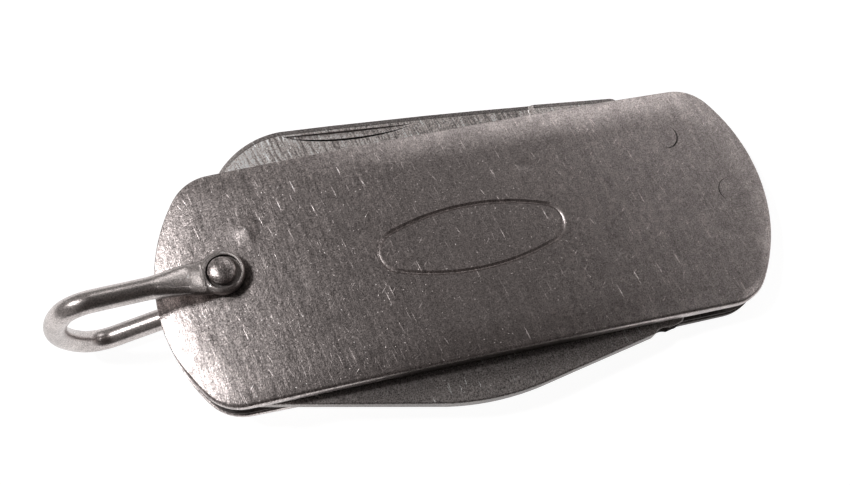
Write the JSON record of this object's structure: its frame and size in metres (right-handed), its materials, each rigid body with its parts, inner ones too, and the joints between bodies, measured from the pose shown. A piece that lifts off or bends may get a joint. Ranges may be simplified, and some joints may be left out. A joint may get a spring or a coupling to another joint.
{
  "type": "folding pocket knife",
  "caption": "Small all-steel folding pen knife, closed, with arched brushed scales, a pen blade, a longer blade, a centre spring and a wire bail",
  "frame": {"origin": "middle of the back scale's flat land, the face the knife is laid on", "axes": "+X along the handle away from the bail, +Y across it towards the pen blade, +Z out of the front scale"},
  "size_m": [0.0704, 0.0303, 0.0142],
  "materials": {
    "steel_scale": "brushed across, scratched and worn",
    "steel_blade": "ground, with fine cross lines",
    "steel_spring": "dull, blackened in the corners",
    "steel_liner": "plain sheet",
    "steel_pin": "ground off level with the scales",
    "steel_bail": "drawn wire, worn bright on its ends"
  },
  "bodies": {
    "handle": {"front_scale": "steel_scale", "back_scale": "steel_scale", "front_liner": "steel_liner", "back_liner": "steel_liner", "centre_spring": "steel_spring", "upper_pivot_pin": "steel_pin", "lower_pivot_pin": "steel_pin", "end_rivet": "steel_pin", "spring_rivet": "steel_pin", "bail_rivet": "steel_pin"},
    "pen_blade": {"pen_blade": "steel_blade"},
    "lower_blade": {"lower_blade": "steel_blade"},
    "bail": {"bail": "steel_bail"}
  },
  "joints": [
    {"name": "pen_blade_hinge", "type": "hinge", "parent": "handle", "child": "pen_blade", "pos_m": [0.0214, 0.0066, 0.0033], "axis": [0, 0, 1], "range_deg": [-170, 0], "deforming": ["centre_spring"]},
    {"name": "lower_blade_hinge", "type": "hinge", "parent": "handle", "child": "lower_blade", "pos_m": [0.0214, -0.0066, 0.0033], "axis": [0, 0, 1], "range_deg": [0, 180], "deforming": ["centre_spring"]},
    {"name": "bail_hinge", "type": "hinge", "parent": "handle", "child": "bail", "pos_m": [-0.02353, 0.00115, 0.0033], "axis": [0, 0, 1], "range_deg": [-108, 98]}
  ]
}
